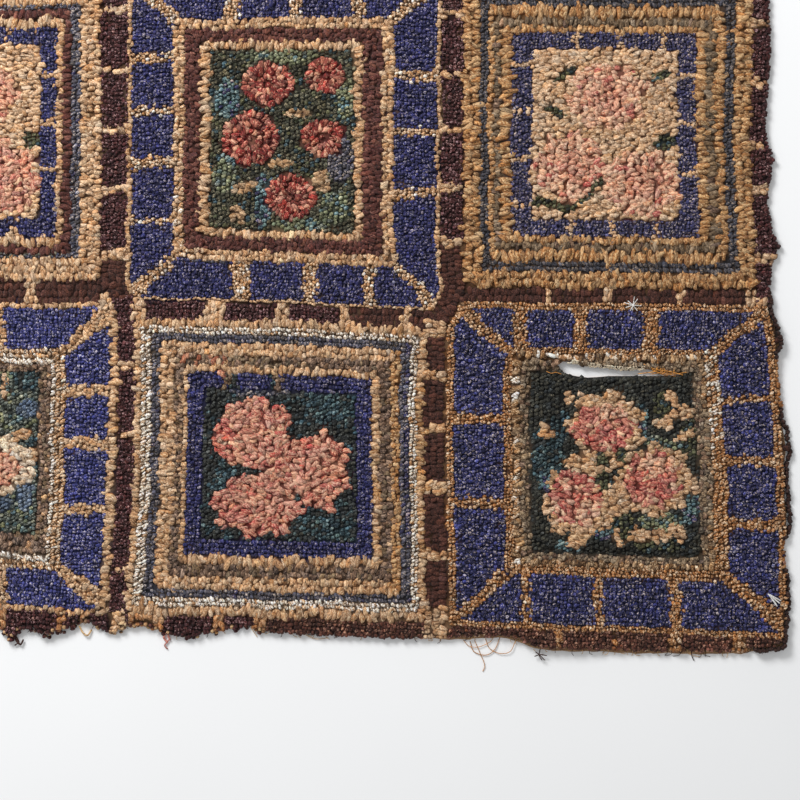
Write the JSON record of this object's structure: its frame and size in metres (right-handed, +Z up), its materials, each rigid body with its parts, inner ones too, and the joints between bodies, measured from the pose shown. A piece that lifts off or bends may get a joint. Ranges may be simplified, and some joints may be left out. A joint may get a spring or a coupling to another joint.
{
  "type": "hooked rug",
  "caption": "Flat oblong hearth rug of wool loops hooked through a burlap foundation, in a check of tiled and lined flower blocks, with a worn front edge and a torn slit.",
  "frame": {"origin": "on the floor under the middle of the rug's box", "axes": "+Z up off the floor, +X along the long side to the right as pictured, +Y to the back edge"},
  "size_m": [1.1134, 0.7714, 0.0108],
  "materials": {
    "foundation": "coarse plain weave burlap",
    "loops": "low loops of wool strip and yarn"
  },
  "bodies": {
    "root": {"foundation_cloth": "foundation", "loop_pile": "loops"}
  },
  "joints": []
}
